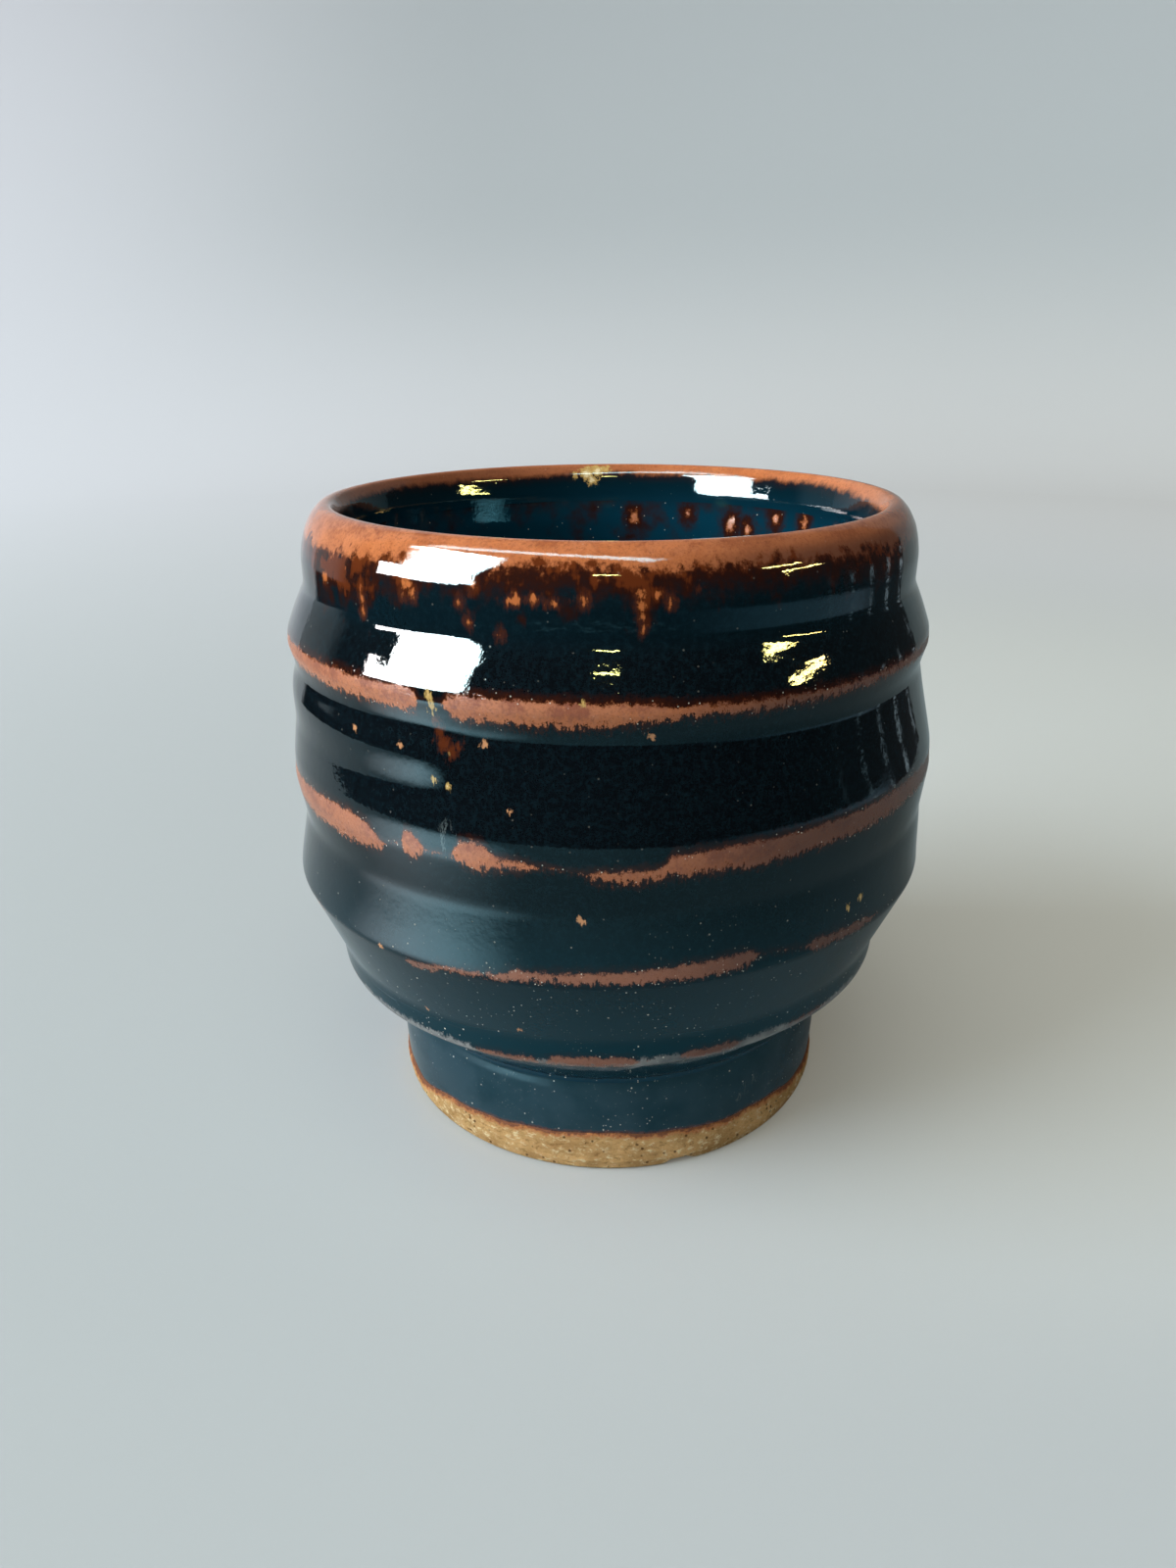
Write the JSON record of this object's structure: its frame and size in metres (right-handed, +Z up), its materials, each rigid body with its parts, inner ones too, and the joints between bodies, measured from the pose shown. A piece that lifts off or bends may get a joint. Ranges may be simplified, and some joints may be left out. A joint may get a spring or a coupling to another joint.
{
  "type": "yunomi teacup",
  "caption": "Tall handleless tea cup, ring-thrown in stoneware on a turned foot ring, with a dark iron glaze that breaks rust brown on the lip and ridges.",
  "frame": {"origin": "centre of the foot ring's base, on the surface that the cup stands on", "axes": "+Z up along the turning axis, towards the mouth; -Y faces the viewer of the picture, +X to its right"},
  "size_m": [0.0918, 0.0918, 0.0879],
  "materials": {
    "stoneware": "fired buff stoneware, wholly under glaze except beneath the foot",
    "foot_clay": "bare coarse buff stoneware, dry and sandy",
    "tenmoku": "glossy black iron glaze, rust brown where it thins on edges",
    "tenmoku_liner": "glossy black iron glaze"
  },
  "bodies": {
    "root": {"clay_body": "stoneware", "foot_ring": "foot_clay", "outer_glaze": "tenmoku", "liner_glaze": "tenmoku_liner"}
  },
  "joints": []
}
